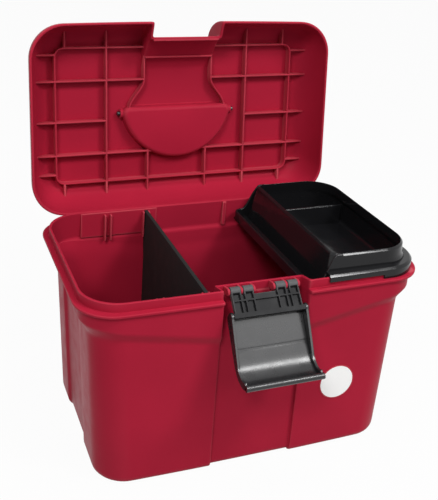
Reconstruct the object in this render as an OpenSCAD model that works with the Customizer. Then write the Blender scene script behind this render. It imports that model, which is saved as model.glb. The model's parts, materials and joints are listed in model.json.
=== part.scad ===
// Horse grooming box: a moulded tub with a hinged lid, a toggle latch, a fold-away carry handle,
// a lift-out tray and a divider plate. Millimetres, +Z up, front towards -Y, base on z = 0.
// The lid stands open and the latch hangs open.

/* [Box] */
// Width over the rim and the lid
box_w = 400; // [360:1:440]
// Depth over the rim and the lid
box_d = 238; // [222:1:256]
// Height of the tub up to the seat of the lid
tub_h = 215; // [195:1:240]
// Height of the lid above its seat
lid_h = 54; // [51:1:60]
// Corner radius of the rim in plan
corner_r = 42; // [36:1:48]
// Outward bow of the front at its middle
front_bow = 2.5; // [1:0.1:4]
// Moulded wall thickness
wall = 2.8; // [2.4:0.1:3.2]

/* [Tub] */
// Width of the lip that carries the lid
lip_w = 6.5; // [6:0.1:8]
// Thickness of the lip
lip_t = 3; // [2.5:0.1:4]
// Height of the upstand above the lip
upstand_h = 10; // [9:0.1:11]
// Depth of the upper band at the middle of the front
band_mid = 45; // [40:0.5:50]
// Depth of the upper band at the corners
band_end = 22; // [18:0.5:30]
// Height of the sloped shoulder under the band
shoulder_h = 14; // [10:0.5:18]
// Step-in of the shoulder at the two sides
shoulder_side = 10; // [6:0.5:12]
// Step-in of the shoulder at front and back
shoulder_front = 2; // [1.5:0.1:4.5]
// Draft of the two side walls
draft_side = 8.5; // [6:0.5:14]
// Draft of the front and back walls
draft_front = 0.5; // [0.3:0.1:6]
// Rounding of the base edge
base_round = 9; // [6:0.5:11]
// Depth of the channel down the middle of the front
channel_d = 4; // [3:0.1:5]
// Depth of the shallow channel down each end wall
end_channel_d = 3; // [2:0.1:4]

/* [Latch seat] */
// Width of the seat for the latch
seat_w = 98; // [94:1:104]
// Set-back of the seat wall from the rim edge
seat_d = 24.5; // [24:0.1:26]
// Seat wall top above the lid seat
seat_up = 5; // [4:0.1:6]
// Seat wall foot below the lid seat
seat_down = 14; // [12:0.1:16]
// Diameter of the moulded hinge bars
bar_d = 5; // [4:0.1:5.4]
// Hinge bar axis in front of the seat wall
bar_out = 8.9; // [8.5:0.1:9.4]
// Hinge bar axis above the lid seat
bar_up = 2; // [1.5:0.1:2.2]

/* [Lid] */
// Opening angle of the lid
open_angle = 96; // [90:1:110]
// Run of the rounded lid edge
lid_round = 28; // [24:0.5:32]
// Set-back of the notch lip from the lid front
notch_in = 17.5; // [17:0.1:18]
// Height of the notch lip above the lid seat
notch_up = 8.5; // [8.2:0.1:9.2]
// Run of the latch ramp
ramp_run = 43.5; // [41:0.5:46]
// Height of the stiffening ribs
rib_h = 11; // [8:0.5:11]
// Thickness of the ribs
rib_t = 2.4; // [1.8:0.1:3]
// Depth of the neck between latch ramp and handle pocket
neck_d = 1.6; // [1:0.1:2]
// Hinge axis behind the lid edge
axis_back = 9; // [8:0.1:10]
// Hinge axis below the lid seat
axis_down = 14.5; // [13:0.1:16]
// Hinge pin diameter
pin_d = 5; // [4:0.1:5.4]

/* [Handle] */
// Width of the handle pocket
pocket_w = 152; // [146:0.5:158]
// Depth of the handle pocket, front to back
pocket_d = 70; // [66:0.5:74]
// Depth of the pocket below the lid top
pocket_h = 14; // [13:0.1:15]
// Thickness of the handle
handle_t = 11; // [9:0.1:11.5]
// Width of the grip
grip_w = 16; // [13:0.5:18]
// Diameter of the handle pegs
peg_d = 6; // [5:0.1:6.5]

/* [Latch] */
// Length from hinge to lever pivot
link_len = 27; // [26:0.1:28]
// Hanging angle of the link
link_angle = 226.4; // [220:0.1:230]
// Thickness of the link plate
link_t = 2.6; // [2.2:0.1:3]
// Height of the link ribs
link_rib_h = 2.6; // [2:0.1:3]
// Width over the lever
lever_w = 88; // [86:0.1:89]
// Thickness of the lever plate
lever_t = 2.6; // [2.2:0.1:3]
// Depth of the lever scoop below its pivot
scoop_d = 15; // [14:0.1:16]
// Length of the lever from its pivot
lever_len = 73; // [68:0.5:76]
// Diameter of the lever pivots
pivot_d = 4.4; // [4:0.1:4.8]

/* [Tray] */
// Width of the tray body
tray_w = 135.5; // [132:0.5:137]
// Depth of the tray below the upstand top
tray_deep = 25; // [22:0.5:34]
// Height of the tray above the upstand top
tray_up = 21; // [17:0.5:22]
// Width of the side trough
trough_w = 30; // [26:0.5:34]
// Thickness of the tray walls
tray_t = 2.6; // [2:0.1:3]
// Thickness of the tray skirt
skirt_t = 1.6; // [1.5:0.1:2]

/* [Divider] */
// Thickness of the divider
divider_t = 4; // [3:0.1:4.5]
// Divider top below the upstand top
divider_drop = 3; // [1:0.5:8]

/* [Sticker] */
// Diameter of the blank round sticker
sticker_d = 41; // [34:0.5:46]
// Thickness of the sticker
sticker_t = 0.3; // [0.2:0.05:0.5]

/* [Hidden] */
$fn = 48;

red = [0.60, 0.09, 0.16];
black = [0.07, 0.07, 0.075];
steel = [0.65, 0.66, 0.68];
white = [0.94, 0.94, 0.93];

// Running clearance between a shaft and its bore
run_gap = 0.05;
// Clearance between parts that pass each other
pass_gap = 0.6;
// Overrun of every cut
over = 1;
half = 0.5;

hw = box_w * half;
hd = box_d * half;
top_z = tub_h + upstand_h;
wall_a = hw - lip_w;
wall_b = hd - lip_w;
low_a = wall_a - shoulder_side;
low_b = wall_b - shoulder_front;
base_a = low_a - draft_side;
base_b = low_b - draft_front;
low_z = tub_h - band_mid - shoulder_h;

// Steps round each corner
corner_steps = 7;
front_shares = [0.72, 0.36];
end_from_share = -0.126;
end_to_share = 0.16;
end_slope_share = 0.03;
end_straight_share = 0.9;
end_y0 = box_d * end_from_share;
end_y1 = box_d * end_to_share;
end_slope = box_d * end_slope_share;
rear_shares = [0.66, 0, -0.66];
edge_share = 0.25;

function mix(a, b, f) = a + (b - a) * f;
function back(list) = [for (i = [len(list) - 1:-1:0]) list[i]];
function arc(cx, cy, r, from, to, n) =
  [for (i = [0:n]) [cx + r * cos(mix(from, to, i / n)), cy + r * sin(mix(from, to, i / n))]];
function bow(p, a) = p[1] < 0 ? [p[0], p[1] - front_bow * (1 - pow(p[0] / a, 2))] : p;

// A rounded rectangle with a bowed front, counter-clockwise from the left end of the front.
// The front carries a gap of half width n at its edges and m at its floor, and the two ends
// carry a channel of depth e.
function front_xs(a, r, n, m) = concat(
  [for (f = front_shares) -mix(n, a - r, f)], [-n, -m, -m * half, 0, m * half, m, n],
  [for (i = [len(front_shares) - 1:-1:0]) mix(n, a - r, front_shares[i])]);
gap_from = len(front_shares) + 1;
gap_to = gap_from + 4;
function end_points(a, e, k) =
  [[a, (end_y0 - end_slope) * k], [a - e, end_y0 * k], [a - e, end_y1 * k], [a, (end_y1 + end_slope) * k]];
function end_scale(straight) = min(1, straight * end_straight_share / (end_y1 + end_slope));
function outline(a, b, r, n, m, e = 0) = concat(
  [for (x = front_xs(a, r, n, m)) bow([x, -b], a)],
  [for (p = arc(a - r, r - b, r, -90, 0, corner_steps)) bow(p, a)],
  end_points(a, e, end_scale(b - r)),
  arc(a - r, b - r, r, 0, 90, corner_steps),
  [for (f = rear_shares) [(a - r) * f, b]],
  arc(r - a, b - r, r, 90, 180, corner_steps),
  [for (p = back(end_points(a, e, end_scale(b - r)))) [-p[0], p[1]]],
  [for (p = arc(r - a, r - b, r, 180, 270, corner_steps)) bow(p, a)]);
// The same outline without the gap, for extruded shapes.
function plain(a, b, r) =
  let (all = outline(a, b, r, a * edge_share, a * edge_share))
  [for (i = [0:len(all) - 1]) if (i < gap_from || i > gap_to) all[i]];
function ringed(p, gy, gz, z) =
  [for (i = [0:len(p) - 1]) i >= gap_from && i <= gap_to ? [p[i][0], gy, gz] : [p[i][0], p[i][1], z]];

// A closed skin over rings of equal length, capped by fans at both ends.
module skin(rings) {
  n = len(rings[0]);
  last = (len(rings) - 1) * n;
  points = concat([for (r = rings) each r], [[0, 0, rings[0][0][2]], [0, 0, rings[len(rings) - 1][0][2]]]);
  sides = [for (k = [0:len(rings) - 2]) for (j = [0:n - 1])
    let (a = k * n + j, b = k * n + (j + 1) % n)
    each [[a, a + n, b + n], [a, b + n, b]]];
  lower = [for (j = [0:n - 1]) [len(points) - 2, j, (j + 1) % n]];
  upper = [for (j = [0:n - 1]) [len(points) - 1, last + (j + 1) % n, last + j]];
  polyhedron(points = points, faces = concat(lower, sides, upper));
}

// A plate cut to a side profile of (y, z) points, standing from x0 to x1.
module side_plate(x0, x1, points) {
  translate([x0, 0, 0]) rotate([90, 0, 90]) linear_extrude(x1 - x0) polygon(points);
}

// A plate cut to a front profile of (x, z) points, standing from y0 to y1.
module front_plate(y0, y1, points) {
  translate([0, y1, 0]) rotate([90, 0, 0]) linear_extrude(y1 - y0) polygon(points);
}

// A rod along X.
module rod(x0, x1, y, z, r) {
  translate([x0, y, z]) rotate([0, 90, 0]) cylinder(h = x1 - x0, r = r);
}

module block(lo, hi) {
  translate(lo) cube(hi - lo);
}

function radius_at(a) = corner_r - (hw - a) * radius_share;
radius_share = 0.3;

// Rounding steps of an edge, as shares of its radius
turn_shares = [0, 0.5, 0.866, 1];
lift_shares = [0, 0.134, 0.5, 1];

// Latch seat
seat_half = seat_w * half;
seat_y = seat_d - hd;
seat_top = tub_h + seat_up;
seat_foot = tub_h - seat_down;
lip_edge_share = 0.25;
rim_edge_share = 0.22;
lip_edge = lip_t * lip_edge_share;
rim_edge = wall * rim_edge_share;
seat_shares = [0, 0.1, 0.2, 0.3, 0.4, 0.5];
bar_r = bar_d * half;
bar_y = seat_y - bar_out;
bar_z = tub_h + bar_up;

// Tub rows: [half width, half depth, height, follows the shoulder, gap y, gap height, gap half width,
// depth of the end channel]
shoulder_in_shares = [0, 0.3, 0.75, 1];
shoulder_up_shares = [0, 0.45, 0.8, 1.15];
inner_up_shares = [-0.1, 0.3, 0.65, 1];
inner_gap_shares = [-0.1, 0.4, 0.9];
function rise(x) =
  (band_mid - band_end) * max(0, min(1, (abs(x) - seat_half) / (wall_a - seat_half - corner_r * half)));
function channel_y(b) = channel_d - b - front_bow;
function seat_z(f) = mix(seat_foot, seat_top, f);
inner_round = base_round - wall;
tub_rows = concat(
  [for (i = [0:3])
    let (in = base_round * (1 - turn_shares[i]), z = base_round * lift_shares[i])
    [base_a - in, base_b - in, z, 0, channel_y(base_b - in), z, seat_half, end_channel_d]],
  [for (i = [0:3])
    let (f = shoulder_in_shares[i], z = low_z + shoulder_h * shoulder_up_shares[i])
    [mix(low_a, wall_a, f), mix(low_b, wall_b, f), z, 1, channel_y(low_b), z, seat_half,
      end_channel_d * (1 - f)]],
  [[wall_a, wall_b, tub_h - lip_t, 0, seat_y, seat_z(seat_shares[0]), seat_half, 0],
   [hw - lip_edge, hd - lip_edge, tub_h - lip_t, 0, seat_y, seat_z(seat_shares[1]), seat_half, 0],
   [hw, hd, tub_h - lip_t + lip_edge, 0, seat_y, seat_z(seat_shares[2]), seat_half, 0],
   [hw, hd, tub_h - lip_edge, 0, seat_y, seat_z(seat_shares[3]), seat_half, 0],
   [hw - lip_edge, hd - lip_edge, tub_h, 0, seat_y, seat_z(seat_shares[4]), seat_half, 0],
   [wall_a, wall_b, tub_h, 0, seat_y, seat_z(seat_shares[5]), seat_half, 0],
   [wall_a, wall_b, top_z - rim_edge, 0, seat_y, seat_top - rim_edge, seat_half, 0],
   [wall_a - rim_edge, wall_b - rim_edge, top_z, 0, seat_y + rim_edge, seat_top, seat_half + rim_edge, 0],
   [wall_a - wall + rim_edge, wall_b - wall + rim_edge, top_z, 0, seat_y + wall - rim_edge, seat_top,
    seat_half + wall - rim_edge, 0],
   [wall_a - wall, wall_b - wall, top_z - rim_edge, 0, seat_y + wall, seat_top - rim_edge, seat_half + wall, 0],
   [wall_a - wall, wall_b - wall, low_z + shoulder_h * inner_up_shares[3], 1, seat_y + wall,
    seat_foot - wall * half, seat_half + wall, 0]],
  [for (i = [2:-1:0])
    let (f = shoulder_in_shares[i], z = low_z + shoulder_h * inner_up_shares[i])
    [mix(low_a, wall_a, f) - wall, mix(low_b, wall_b, f) - wall, z, 1, channel_y(low_b - wall),
     low_z + shoulder_h * inner_gap_shares[i], seat_half + wall, end_channel_d * (1 - f)]],
  [for (i = [3:-1:0])
    let (in = wall + inner_round * (1 - turn_shares[i]), z = wall + inner_round * lift_shares[i])
    [base_a - in, base_b - in, z, 0, channel_y(base_b - in), z, seat_half + wall, end_channel_d]]);
// A smaller ring in the plane of a row, clear of its gap, from which the row is capped
close_share = 0.02;
function tub_cap(q) = [q[0] - channel_d * 2, q[1] - channel_d * 2, q[2], 0, channel_d * 2 - q[1] - front_bow,
  q[2], q[6], q[7] * half, close_share];
function tub_ring(q) =
  let (s = len(q) > 8 ? q[8] : 0,
    p = outline(q[0], q[1], radius_at(q[0]), q[6] * (1 + 3 * s), q[6] * (1 + s), q[7]))
  [for (i = [0:len(p) - 1]) i >= gap_from && i <= gap_to ? [p[i][0], q[4], q[5]] :
    [p[i][0], p[i][1], q[2] + q[3] * rise(p[i][0])]];

// Hinge bars of the latch: ears along the seat wall and two bars between them
ear_shares = [0.235, 0.53, 0.827];
ear_t = 2.4;
ear_wall = 1.6;
ear_r = bar_r + ear_wall;
ear_down = 6;
ear_root = seat_y + wall * half;
module latch_ears() {
  for (side = [-1, 1]) {
    for (f = ear_shares) {
      x = side * f * seat_half;
      rod(x - ear_t * half, x + ear_t * half, bar_y, bar_z, ear_r);
      side_plate(x - ear_t * half, x + ear_t * half, [
        [bar_y, bar_z - ear_r], [ear_root, bar_z - ear_down], [ear_root, bar_z + bar_up],
        [bar_y, bar_z + ear_r]]);
    }
    rod(side * seat_half * mix(ear_shares[0], ear_shares[2], half) - bar_len * half,
      side * seat_half * mix(ear_shares[0], ear_shares[2], half) + bar_len * half, bar_y, bar_z, bar_r);
  }
}
bar_len = seat_half * (ear_shares[2] - ear_shares[0]) + ear_t;

// Rear hinges
axis_y = hd + axis_back;
axis_z = tub_h - axis_down;
pin_r = pin_d * half;
hinge_x_share = 0.55;
hinge_x = hw * hinge_x_share;
knuckle_w = 18;
knuckle_wall = 3;
knuckle_r = pin_r + knuckle_wall;
lug_t = 6;
lug_drop = 20;
lug_in = knuckle_w * half + pass_gap * half;
module hinge_lugs(x) {
  for (side = [-1, 1]) {
    x0 = x + side * (lug_in + lug_t * half) - lug_t * half;
    difference() {
      union() {
        rod(x0, x0 + lug_t, axis_y, axis_z, knuckle_r);
        side_plate(x0, x0 + lug_t, [
          [wall_b - wall * half, axis_z - lug_drop], [axis_y, axis_z - knuckle_r],
          [axis_y, axis_z + knuckle_r * half],
          [hd - lip_edge, tub_h - lip_t * half], [wall_b - wall * half, tub_h - lip_t * half]]);
      }
      rod(x0 - over, x0 + lug_t + over, axis_y, axis_z, pin_r);
    }
  }
}

// Slots that hold the divider, on the front and back walls of the upper band
divider_x_share = -0.33;
spare_x_share = -0.575;
slot_t = 2;
slot_in = 6;
slot_top_drop = 4;
slot_bottom_share = 0.62;
module divider_slots(x) {
  for (side = [-1, 1]) {
    x0 = x + side * (divider_t * half + pass_gap + slot_t * half) - slot_t * half;
    for (rear = [-1, 1])
      block(
        [x0, rear > 0 ? wall_b - wall - slot_in : -wall_b - wall * half, tub_h - band_mid * slot_bottom_share],
        [x0 + slot_t, rear > 0 ? wall_b - wall * half : slot_in + wall - wall_b, top_z - slot_top_drop]);
  }
}

// Upright ridge on the inside of the rear wall
ridge_x_share = 0.2;
ridge_w = 8;
ridge_up = 1.4;
ridge_drop = 5;
module rear_ridge() {
  x = hw * ridge_x_share;
  block([x - ridge_w * half, wall_b - wall - ridge_up, low_z + shoulder_h * 2],
    [x + ridge_w * half, wall_b - wall * half, top_z - ridge_drop]);
}

// Raised round pad for the sticker, square to the drafted front wall
pad_x_share = 0.5;
pad_z_share = 0.405;
pad_up = 0.8;
pad_rim = 1.5;
pad_r = sticker_d * half + pad_rim;
pad_x = hw * pad_x_share;
pad_z = tub_h * pad_z_share;
draft_angle = atan(draft_front / (low_z - base_round));
pad_y = -mix(base_b, low_b, (pad_z - base_round) / (low_z - base_round))
  - front_bow * (1 - pow(pad_x / base_a, 2));
module on_pad() {
  translate([pad_x, pad_y, pad_z]) rotate([90 - draft_angle, 0, 0]) children();
}

// Groove along the lip beside the latch seat
groove_from_share = 0.03;
groove_to_share = 0.5;
groove_w = 2.4;
groove_d = 1.4;
groove_in = 1.2;
module tub() {
  color(red) difference() {
    union() {
      skin([for (q = concat([tub_cap(tub_rows[0])], tub_rows, [tub_cap(tub_rows[len(tub_rows) - 1])]))
        tub_ring(q)]);
      latch_ears();
      for (side = [-1, 1])
        hinge_lugs(side * hinge_x);
      for (f = [divider_x_share, spare_x_share])
        divider_slots(hw * f);
      rear_ridge();
      on_pad() translate([0, 0, -wall * half]) cylinder(h = wall * half + pad_up, r = pad_r);
    }
    block([seat_half + hw * groove_from_share, -hd + groove_in, tub_h - groove_d],
      [seat_half + hw * groove_to_share * half + groove_w, groove_in + groove_w - hd, tub_h + over]);
  }
}

module hinge_pin(x) {
  color(steel) rod(x - lug_in - lug_t, x + lug_in + lug_t, axis_y, axis_z, pin_r);
}

// Lid, drawn closed. Rows: [set-in, height, gap y, gap height, gap half width]
notch_half = seat_half - wall - pass_gap * 2;
notch_y = notch_in - hd;
edge_turns = [0, 14, 28, 42, 56, 68, 80, 90];
ramp_y_shares = [0, 0.01, 0.05, 0.16, 0.34, 0.55, 0.77, 1];
ramp_z_shares = [0, 0.1, 0.2, 0.34, 0.52, 0.71, 0.89, 1];
lid_in = lid_h - wall;
lid_edge = wall * rim_edge_share;
lid_gap = 0.2;
function lid_row(i, thin) =
  let (h = lid_h - thin, up = i == 0 ? lid_edge : 0)
  [thin + lid_round * (1 - cos(edge_turns[i])), h * sin(edge_turns[i]) + up,
   notch_y + thin + ramp_run * ramp_y_shares[i], mix(notch_up, h, ramp_z_shares[i]) + up, notch_half + thin];
lid_rows = concat(
  [for (i = [7:-1:0]) lid_row(i, wall)],
  [[wall - lid_edge, lid_gap, notch_y + wall - lid_edge, notch_up, notch_half + wall - lid_edge],
   [lid_edge, lid_gap, notch_y + lid_edge, notch_up, notch_half + lid_edge]],
  [for (i = [0:7]) lid_row(i, 0)]);
lid_close_share = 0.85;
lid_close = hd + (notch_y + ramp_run) * lid_close_share;
function lid_cap(q) = [lid_close, q[1], lid_close - hd - front_bow, q[1], q[4], close_share];
function lid_ring(q) =
  let (s = len(q) > 5 ? q[5] : 0)
  ringed(outline(hw - q[0], hd - q[0], radius_at(hw - q[0]), q[4] * (1 + 3 * s), q[4] * (1 + s)),
    q[2], tub_h + q[3], tub_h + q[1]);

// Ribs under the lid
lid_top = tub_h + lid_h;
rib_z = lid_top - wall - rib_h;
rib_root = lid_top - wall * half;
frame_a_share = 0.8125;
frame_front_share = -0.36;
frame_back_share = 0.377;
frame_a = hw * frame_a_share;
frame_y0 = box_d * frame_front_share;
frame_y1 = box_d * frame_back_share;
frame_r = 11;
long_rib_share = 0.4835;
short_rib_share = 0.2035;
cross_rib_shares = [-0.184, 0.037, 0.219];
side_gusset_shares = [-0.325, 0.325];
front_gusset_share = 0.75;
back_gusset_share = 0.76;
neck_end_share = -0.185;
bell_share = 0.33;
bell_steps = 8;
function frame_points(out) = concat(
  arc(frame_a - frame_r, frame_y0 + frame_r, frame_r + out, -90, 0, corner_steps),
  arc(frame_a - frame_r, frame_y1 - frame_r, frame_r + out, 0, 90, corner_steps),
  arc(frame_r - frame_a, frame_y1 - frame_r, frame_r + out, 90, 180, corner_steps),
  arc(frame_r - frame_a, frame_y0 + frame_r, frame_r + out, 180, 270, corner_steps));
// Profile of a gusset from the frame out to the lid wall, as (distance from the edge, height) points
gusset_steps = 4;
function wall_mid(t) = [wall * half + lid_round * (1 - cos(t)), tub_h + (lid_h - wall * half) * sin(t)];
gusset_from = asin((rib_z - tub_h) / (lid_h - wall * half));
function gusset_points(reach) = concat(
  [[reach, rib_root], [reach, rib_z]],
  [for (i = [0:gusset_steps]) wall_mid(mix(gusset_from, 90, i / gusset_steps))]);
neck_x = notch_half + wall * half;
neck_y1 = box_d * neck_end_share;
pocket_y0_share = -0.032;
pocket_y0 = box_d * pocket_y0_share;
function bell(f) =
  [mix(neck_x, hw * bell_share, (1 - cos(180 * f)) * half), mix(neck_y1, pocket_y0 + wall, f)];
bell_points = concat(
  [[neck_x - rib_t * half, notch_y + ramp_run]],
  [for (i = [0:bell_steps]) bell(i / bell_steps) - [rib_t * half, 0]],
  [for (i = [bell_steps:-1:0]) bell(i / bell_steps) + [rib_t * half, 0]],
  [[neck_x + rib_t * half, notch_y + ramp_run]]);
ramp_rib_share = 0.66;
ramp_rib_up_share = 0.82;
ramp_rib_h = 6;
// Ribs that run out to a side, front or back wall of the lid
module side_rib(y_share, from) {
  y = box_d * y_share;
  front_plate(y - rib_t * half, y + rib_t * half, [for (p = gusset_points(hw - from)) [hw - p[0], p[1]]]);
}
module front_rib(x_share, from) {
  x = hw * x_share;
  side_plate(x - rib_t * half, x + rib_t * half, [for (p = gusset_points(hd + from)) [p[0] - hd, p[1]]]);
}
module back_rib(x_share, from) {
  x = hw * x_share;
  side_plate(x - rib_t * half, x + rib_t * half, [for (p = gusset_points(hd - from)) [hd - p[0], p[1]]]);
}
bell_top_share = 0.8;
module lid_ribs() {
  translate([0, 0, rib_z]) linear_extrude(rib_root - rib_z) difference() {
    polygon(frame_points(rib_t * half));
    polygon(frame_points(-rib_t * half));
    translate([-neck_x, frame_y0 - frame_r]) square([neck_x * 2, frame_r * 2]);
  }
  for (side = [-1, 1]) {
    mirror([side < 0 ? 1 : 0, 0, 0]) {
      translate([0, 0, rib_z]) linear_extrude(rib_root - rib_z) polygon(bell_points);
      side_rib(cross_rib_shares[0], neck_x);
      side_rib(cross_rib_shares[1], hw * long_rib_share);
      side_rib(cross_rib_shares[2], sqrt(pow(arc_r - wall, 2) - pow(box_d * cross_rib_shares[2] - arc_y, 2)));
      for (f = side_gusset_shares)
        side_rib(f, frame_a);
      front_rib(long_rib_share, frame_y1);
      front_rib(front_gusset_share, frame_y0);
      back_rib(short_rib_share, pocket_y0 + pocket_d * bell_top_share);
      back_rib(back_gusset_share, frame_y1);
    }
  }
  ramp_z = tub_h + mix(notch_up, lid_h - wall, ramp_rib_up_share);
  block([-neck_x, notch_y + ramp_run * ramp_rib_share - rib_t * half, ramp_z - ramp_rib_h],
    [neck_x, notch_y + ramp_run * ramp_rib_share + rib_t * half, ramp_z]);
}

// Half-moon handle pocket: its back edge is an arc through the two ends of its front edge
arc_r = (pow(pocket_w * half, 2) + pow(pocket_d - wall, 2)) / (2 * (pocket_d - wall));
arc_y = pocket_y0 + pocket_d - arc_r;
pocket_round = 3;
module half_moon(z0, z1, out) {
  intersection() {
    translate([0, arc_y, z0]) cylinder(h = z1 - z0, r = arc_r + out, $fn = 96);
    block([-box_w, pocket_y0 - out, z0], [box_w, box_d, z1]);
  }
}

// Handle axis and pegs
peg_r = peg_d * half;
grip_r = arc_r - wall - pass_gap * 3;
handle_y = pocket_y0 + wall + handle_t * half + pass_gap;
handle_z = lid_top - handle_t * half - pass_gap * 2;
arm_x1 = sqrt(pow(grip_r, 2) - pow(handle_y + handle_t * half - arc_y, 2));
arm_x0 = sqrt(pow(grip_r - grip_w, 2) - pow(handle_y - arc_y, 2));
boss_wall = 3;
boss_out = 2.4;
peg_out = 6;
side_x = sqrt(pow(arc_r, 2) - pow(handle_y - arc_y, 2));

knuckle_up = 6;
knuckle_top = 17;
module lid_closed() {
  floor_z = lid_top - pocket_h - wall;
  difference() {
    union() {
      skin([for (q = concat([lid_cap(lid_rows[0])], lid_rows, [lid_cap(lid_rows[len(lid_rows) - 1])]))
        lid_ring(q)]);
      lid_ribs();
      half_moon(floor_z + pocket_round, lid_top - wall * half, 0);
      half_moon(floor_z, floor_z + pocket_round + over, -pocket_round * half);
      block([-neck_x, notch_y + ramp_run - wall, lid_top - wall - neck_d],
        [neck_x, pocket_y0 + wall, lid_top - wall * half]);
      for (side = [-1, 1]) {
        boss_x = side * (side_x - wall + boss_out);
        rod(boss_x - boss_out - wall * half, boss_x + boss_out + wall * half, handle_y, handle_z,
          peg_r + boss_wall);
        x = side * hinge_x;
        rod(x - knuckle_w * half, x + knuckle_w * half, axis_y, axis_z, knuckle_r);
        side_plate(x - knuckle_w * half, x + knuckle_w * half, [
          [hd - wall * half, tub_h + knuckle_up], [axis_y - knuckle_r * cos(30), axis_z + knuckle_r * half],
          [axis_y, axis_z], [axis_y + knuckle_r, axis_z], [axis_y + knuckle_r, axis_z + knuckle_r],
          [hd - wall * half, tub_h + knuckle_top]]);
      }
    }
    half_moon(lid_top - pocket_h, lid_top + over, -wall);
    block([-notch_half + wall, notch_y + ramp_run * half, lid_top - neck_d],
      [notch_half - wall, pocket_y0 + wall * 2, lid_top + over]);
    for (side = [-1, 1]) {
      mirror([side < 0 ? 1 : 0, 0, 0])
        rod(arm_x1, side_x + peg_out + over, handle_y, handle_z, peg_r + run_gap);
      rod(side * hinge_x - knuckle_w, side * hinge_x + knuckle_w, axis_y, axis_z, pin_r + run_gap);
    }
  }
}

// Carries the lid and what rides on it to the open pose.
module opened() {
  translate([0, axis_y, axis_z]) rotate([-open_angle, 0, 0]) translate([0, -axis_y, -axis_z]) children();
}

module lid() {
  color(red) opened() lid_closed();
}

module handle() {
  color(black) opened() {
    difference() {
      intersection() {
        translate([0, arc_y, handle_z - handle_t * half]) cylinder(h = handle_t, r = grip_r, $fn = 96);
        block([-box_w, handle_y, handle_z - handle_t], [box_w, box_d, handle_z + handle_t]);
      }
      translate([0, arc_y, handle_z - handle_t]) cylinder(h = handle_t * 2, r = grip_r - grip_w, $fn = 96);
    }
    for (side = [-1, 1]) {
      mirror([side < 0 ? 1 : 0, 0, 0]) {
        rod(arm_x0, arm_x1, handle_y, handle_z, handle_t * half);
        rod(arm_x1 - over, side_x + peg_out, handle_y, handle_z, peg_r);
      }
    }
  }
}

// Latch link, drawn along +Y from the hinge bar, ribs towards -Z
clip_wall = 2.3;
clip_r = bar_r + clip_wall;
clip_open_share = 0.8;
finger_w = seat_half * (ear_shares[1] - ear_shares[0]) - ear_t - pass_gap * 2;
link_rib_t = 1.6;
web_from = ear_r + pass_gap * 2;
hook_w = 5;
hook_up = 1.2;
lever_half = lever_w * half;
pivot_r = pivot_d * half;
link_half = lever_half - lever_t - pass_gap;
link_cross_share = 0.42;
module latch_at(y, z) {
  translate([0, y, z]) rotate([link_angle, 0, 0]) children();
}
module latch_link() {
  color(black) latch_at(bar_y, bar_z) {
    for (side = [-1, 1]) {
      mirror([side < 0 ? 1 : 0, 0, 0]) {
        for (i = [0:1]) {
          x = seat_half * mix(ear_shares[i], ear_shares[i + 1], half);
          difference() {
            union() {
              rod(x - finger_w * half, x + finger_w * half, 0, 0, clip_r);
              block(
                [x - finger_w * half, bar_r, -link_t * half], [x + finger_w * half, link_len, link_t * half]);
              for (end = [-1, 1]) {
                rib_x = x + end * (finger_w - link_rib_t) * half;
                block([rib_x - link_rib_t * half, bar_r, -link_t * half - link_rib_h],
                  [rib_x + link_rib_t * half, link_len, 0]);
              }
            }
            rod(x - finger_w, x + finger_w, 0, 0, bar_r + run_gap);
            block([x - finger_w, -bar_r * clip_open_share, 0],
              [x + finger_w, bar_r * clip_open_share, clip_r + over]);
          }
        }
        rod(link_half - over, lever_half, link_len, 0, pivot_r);
      }
    }
    outer = seat_half * mix(ear_shares[1], ear_shares[2], half) + finger_w * half;
    block([-outer, web_from, -link_t * half], [outer, link_len, link_t * half]);
    block([-outer, link_len * link_cross_share - link_rib_t * half, -link_t * half - link_rib_h],
      [outer, link_len * link_cross_share + link_rib_t * half, 0]);
    block([-link_half, link_len - hook_w * half, -link_t * half - link_rib_h - hook_up],
      [link_half, link_len + hook_w * half, link_t * half]);
  }
}

// Latch lever: a scoop between two cheeks, drawn from its pivot along +Y with the scoop towards +Z
scoop_long_share = 1.6;
scoop_deep_share = 1.13;
scoop_a = scoop_d * scoop_long_share;
scoop_b = scoop_d * scoop_deep_share;
scoop_y = lever_len - scoop_a;
scoop_z = scoop_d - scoop_b;
plate_back = 3;
plate_z_share = 0.5;
plate_z = scoop_d * plate_z_share;
// Where the straight plate runs into the oval
scoop_start = 102;
scoop_steps = 16;
cheek_h = 6;
cheek_ear = 2.8;
tip_r = 3.4;
function oval(a, b, start, end) = [for (i = [0:scoop_steps]) let (t = mix(start, end, i / scoop_steps))
  [scoop_y + a * cos(t), scoop_z + b * sin(t)]];
function scoop(out) = concat(
  [[-plate_back, plate_z + out]], oval(scoop_a + out, scoop_b + out, scoop_start, 0));
module latch_lever() {
  tip = [scoop_y + scoop_a, scoop_z];
  b_y = bar_y + link_len * cos(link_angle);
  b_z = bar_z + link_len * sin(link_angle);
  color(black) latch_at(b_y, b_z) {
    side_plate(-lever_half, lever_half, concat(scoop(lever_t * half), back(scoop(-lever_t * half))));
    rod(-lever_half, lever_half, tip[0], tip[1], tip_r);
    for (side = [-1, 1]) {
      mirror([side < 0 ? 1 : 0, 0, 0]) difference() {
        union() {
          rod(lever_half - lever_t, lever_half, 0, 0, pivot_r + cheek_ear);
          side_plate(lever_half - lever_t, lever_half, concat(
            [[-pivot_r - cheek_ear, 0]], scoop(lever_t * half),
            back(oval(scoop_a - cheek_h, scoop_b - cheek_h, 90, 0)),
            [[0, -pivot_r - cheek_ear]]));
        }
        rod(lever_half - lever_t - over, lever_half + over, 0, 0, pivot_r + run_gap);
      }
    }
  }
}

// Lift-out tray at the right end
tray_x1 = wall_a - wall - wall;
tray_x0 = tray_x1 - tray_w;
tray_b = wall_b - wall - wall;
tray_z0 = top_z - tray_deep;
tray_top = top_z + tray_up;
tray_low_share = 0.46;
tray_low = top_z - tray_deep * tray_low_share;
mid_x = tray_x0 + trough_w;
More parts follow.
